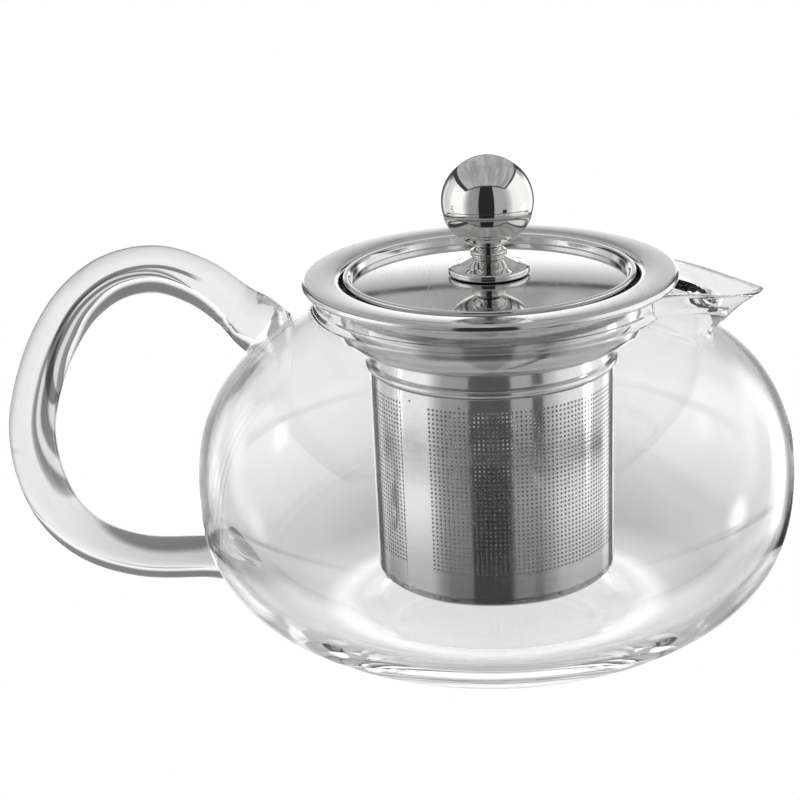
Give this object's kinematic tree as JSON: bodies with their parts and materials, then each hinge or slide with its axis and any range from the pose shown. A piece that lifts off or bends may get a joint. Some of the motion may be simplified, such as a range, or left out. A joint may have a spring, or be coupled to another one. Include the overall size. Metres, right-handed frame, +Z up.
{
  "type": "teapot",
  "caption": "Clear glass teapot with a squat round body, pulled spout, glass rod handle, hanging perforated steel infuser and a flat steel lid with a ball knob.",
  "frame": {"origin": "centre of the flat base, on the vessel's axis, on the table plane", "axes": "+Z up along the vessel's axis, +X towards the spout, -X towards the handle, -Y towards the viewer"},
  "size_m": [0.1891, 0.143, 0.1154],
  "materials": {
    "clear_glass": "clear, smooth, flame polished",
    "collar_steel": "spun and polished stainless steel, fine circular lines",
    "basket_steel": "rolled stainless sheet, bright, etched with fine holes",
    "lid_steel": "mirror polished stainless steel",
    "knob_steel": "mirror polished stainless steel",
    "screw_steel": "plain bright steel"
  },
  "bodies": {
    "vessel": {"glass_body": "clear_glass", "glass_handle": "clear_glass"},
    "infuser": {"infuser_collar": "collar_steel", "basket_wall": "basket_steel", "basket_floor": "basket_steel"},
    "lid": {"lid_disc": "lid_steel", "knob_ball": "knob_steel", "knob_base": "knob_steel", "knob_screw": "screw_steel"}
  },
  "joints": [
    {"name": "infuser_lift", "type": "slide", "parent": "vessel", "child": "infuser", "axis": [0, 0, 1], "range_m": [0, 0.085]},
    {"name": "lid_lift", "type": "slide", "parent": "infuser", "child": "lid", "axis": [0, 0, 1], "range_m": [0, 0.03]}
  ]
}
